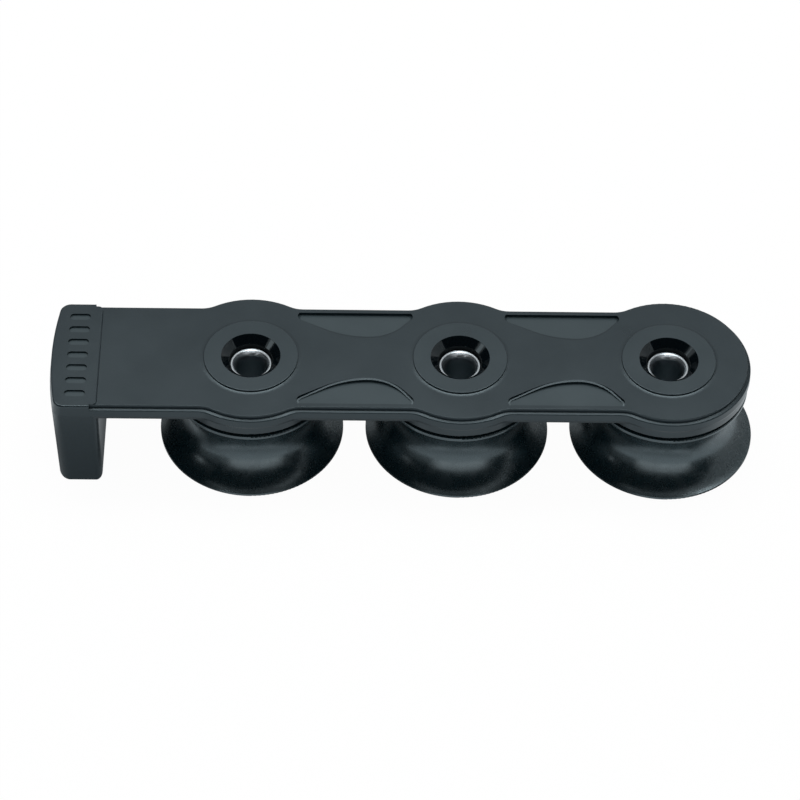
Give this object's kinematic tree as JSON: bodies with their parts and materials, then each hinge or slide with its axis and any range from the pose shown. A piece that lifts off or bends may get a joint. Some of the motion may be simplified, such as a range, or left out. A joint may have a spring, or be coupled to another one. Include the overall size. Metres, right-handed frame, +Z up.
{
  "type": "rope deck organizer",
  "caption": "Low deck fitting that leads ropes: a lobed moulded cover with an end leg over grooved sheaves that turn on steel sleeves for countersunk deck bolts.",
  "frame": {"origin": "on the middle hole's axis, in the deck plane", "axes": "+X along the row of sheaves, away from the leg; +Y across the row; +Z up from the deck"},
  "size_m": [0.1909, 0.05, 0.0303],
  "materials": {
    "cover_plastic": "satin",
    "sheave_plastic": "semi-gloss",
    "stainless": "polished",
    "bearing_plastic": "satin"
  },
  "bodies": {
    "base": {"cover": "cover_plastic", "sleeve_left": "stainless", "sleeve_middle": "stainless", "sleeve_right": "stainless", "upper_washer_left": "bearing_plastic", "upper_washer_middle": "bearing_plastic", "upper_washer_right": "bearing_plastic", "lower_washer_left": "bearing_plastic", "lower_washer_middle": "bearing_plastic", "lower_washer_right": "bearing_plastic"},
    "left_sheave": {"sheave_left": "sheave_plastic", "bush_left": "bearing_plastic"},
    "middle_sheave": {"sheave_middle": "sheave_plastic", "bush_middle": "bearing_plastic"},
    "right_sheave": {"sheave_right": "sheave_plastic", "bush_right": "bearing_plastic"}
  },
  "joints": [
    {"name": "left_sheave_spin", "type": "hinge", "parent": "base", "child": "left_sheave", "pos_m": [-0.0561, 0, 0.012], "axis": [0, 0, 1], "continuous": true},
    {"name": "middle_sheave_spin", "type": "hinge", "parent": "base", "child": "middle_sheave", "pos_m": [0, 0, 0.012], "axis": [0, 0, 1], "continuous": true},
    {"name": "right_sheave_spin", "type": "hinge", "parent": "base", "child": "right_sheave", "pos_m": [0.0561, 0, 0.012], "axis": [0, 0, 1], "continuous": true}
  ]
}
